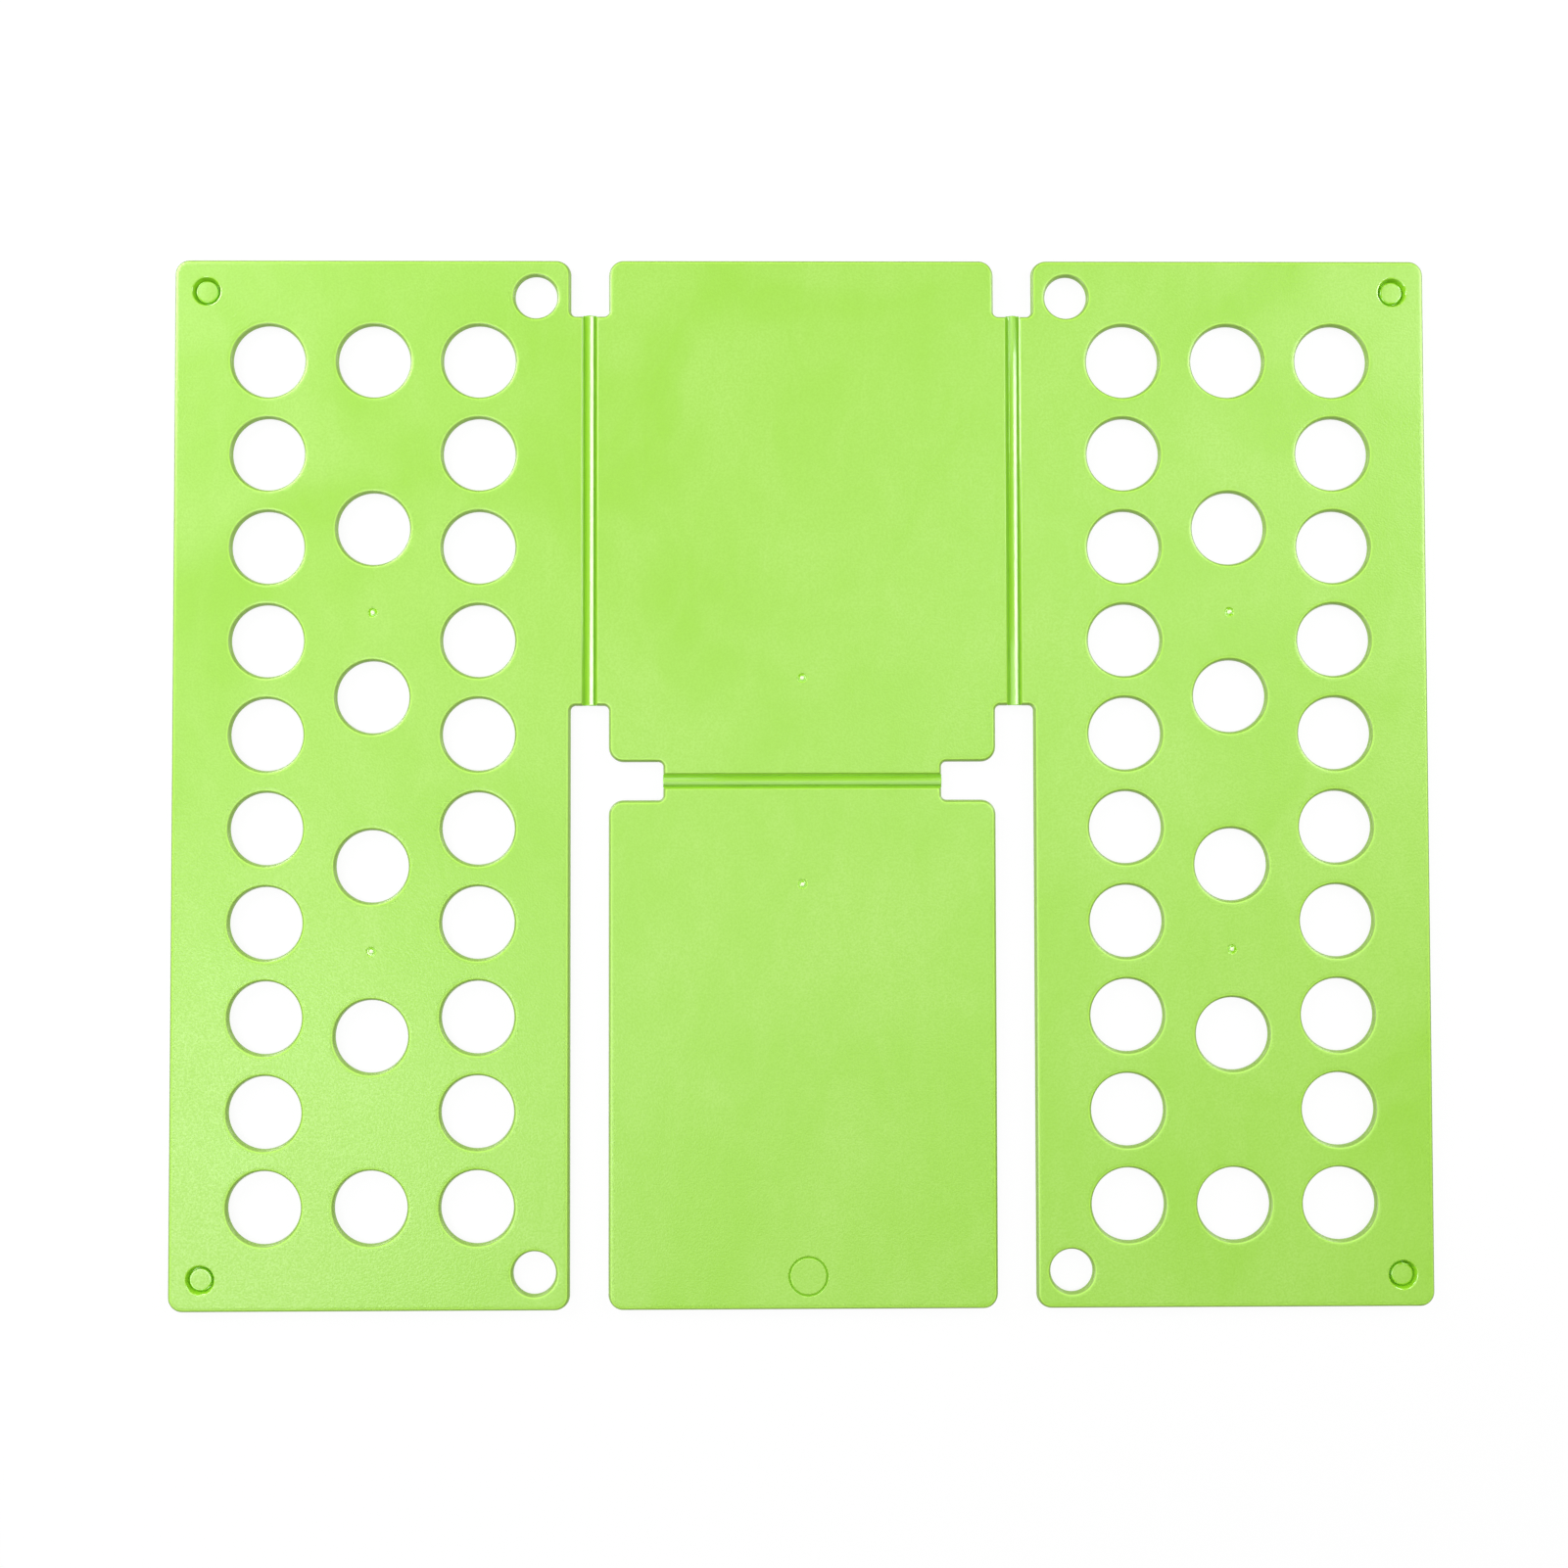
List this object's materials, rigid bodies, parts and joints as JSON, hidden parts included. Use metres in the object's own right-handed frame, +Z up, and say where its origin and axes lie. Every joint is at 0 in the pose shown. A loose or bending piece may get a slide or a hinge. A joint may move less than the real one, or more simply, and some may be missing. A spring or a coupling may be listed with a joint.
{
  "type": "shirt folding board",
  "caption": "Flat hinged plastic board for folding shirts: perforated side flaps and a lower panel swing over a centre panel on double living hinges.",
  "frame": {"origin": "under the middle of the open board, at the level of the feet's soles", "axes": "+X to the right flap, +Y to the collar end of the board, +Z up out of the bed that the shirt lies on"},
  "size_m": [0.7, 0.584, 0.005],
  "materials": {
    "panel_plastic": "lime green polypropylene with a fine moulded pebble grain, satin",
    "hinge_plastic": "lime green polypropylene, smooth and glossy where the mould is polished",
    "web_plastic": "thin lime green polypropylene film, deeper in colour, smooth"
  },
  "bodies": {
    "centre": {"centre_panel": "panel_plastic", "left_hinge_inner_web": "web_plastic", "right_hinge_inner_web": "web_plastic", "lower_hinge_inner_web": "web_plastic"},
    "left_spine": {"left_hinge_spine": "hinge_plastic", "left_hinge_outer_web": "web_plastic"},
    "left_flap": {"left_flap": "panel_plastic"},
    "right_spine": {"right_hinge_spine": "hinge_plastic", "right_hinge_outer_web": "web_plastic"},
    "right_flap": {"right_flap": "panel_plastic"},
    "lower_spine": {"lower_hinge_spine": "hinge_plastic", "lower_hinge_outer_web": "web_plastic"},
    "lower_panel": {"lower_panel": "panel_plastic"}
  },
  "joints": [
    {"name": "left_inner_crease", "type": "hinge", "parent": "centre", "child": "left_spine", "pos_m": [-0.11525, 0.1513, 0.0037], "axis": [0, 1, 0], "range_deg": [0, 60], "deforming": ["left_hinge_inner_web"]},
    {"name": "left_flap_fold", "type": "hinge", "parent": "left_spine", "child": "left_flap", "pos_m": [-0.12145, 0.1513, 0.0037], "axis": [0, 1, 0], "range_deg": [0, 60], "deforming": ["left_hinge_outer_web"]},
    {"name": "right_inner_crease", "type": "hinge", "parent": "centre", "child": "right_spine", "pos_m": [0.11525, 0.1513, 0.0037], "axis": [0, -1, 0], "range_deg": [0, 60], "deforming": ["right_hinge_inner_web"]},
    {"name": "right_flap_fold", "type": "hinge", "parent": "right_spine", "child": "right_flap", "pos_m": [0.12145, 0.1513, 0.0037], "axis": [0, -1, 0], "range_deg": [0, 60], "deforming": ["right_hinge_outer_web"]},
    {"name": "lower_inner_crease", "type": "hinge", "parent": "centre", "child": "lower_spine", "pos_m": [0, 0.0031, 0.0037], "axis": [-1, 0, 0], "range_deg": [0, 90], "deforming": ["lower_hinge_inner_web"]},
    {"name": "lower_panel_fold", "type": "hinge", "parent": "lower_spine", "child": "lower_panel", "pos_m": [0, -0.0031, 0.0037], "axis": [-1, 0, 0], "range_deg": [0, 90], "deforming": ["lower_hinge_outer_web"]}
  ]
}
